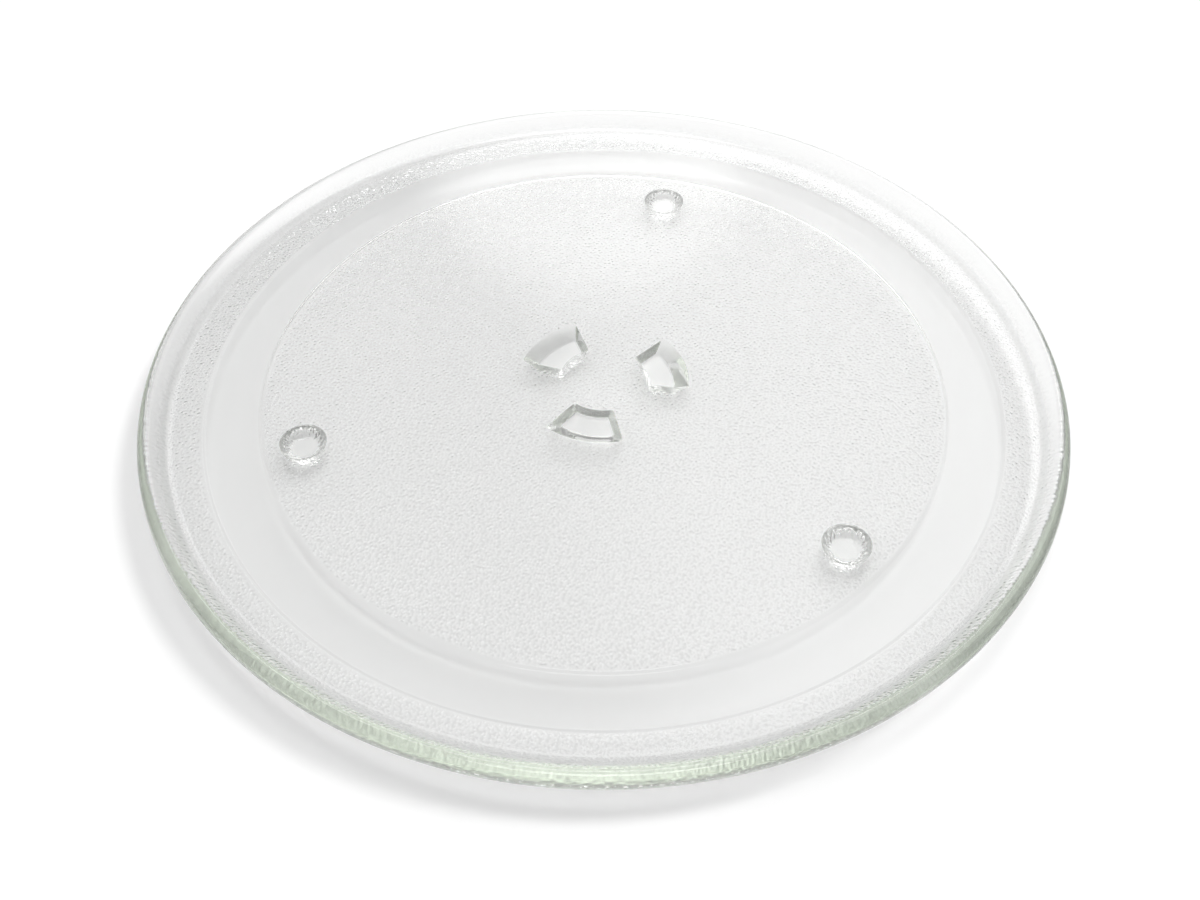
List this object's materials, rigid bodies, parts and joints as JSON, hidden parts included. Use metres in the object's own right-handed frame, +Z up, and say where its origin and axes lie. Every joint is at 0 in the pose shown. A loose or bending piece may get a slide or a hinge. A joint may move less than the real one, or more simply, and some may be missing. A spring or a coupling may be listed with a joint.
{
  "type": "microwave turntable plate",
  "caption": "Round clear pressed-glass turntable plate with a low rim and rounded lip; its stippled underside has a smooth roller track, round feet and drive lugs at the centre.",
  "frame": {"origin": "on the plate's axis, at the level of the table that its feet stand on", "axes": "+Z up along the plate's axis, +Y towards one of the feet"},
  "size_m": [0.255, 0.255, 0.0138],
  "materials": {
    "glass": "clear pressed glass, smooth on top, stippled underneath"
  },
  "bodies": {
    "root": {"glass_plate": "glass"}
  },
  "joints": []
}
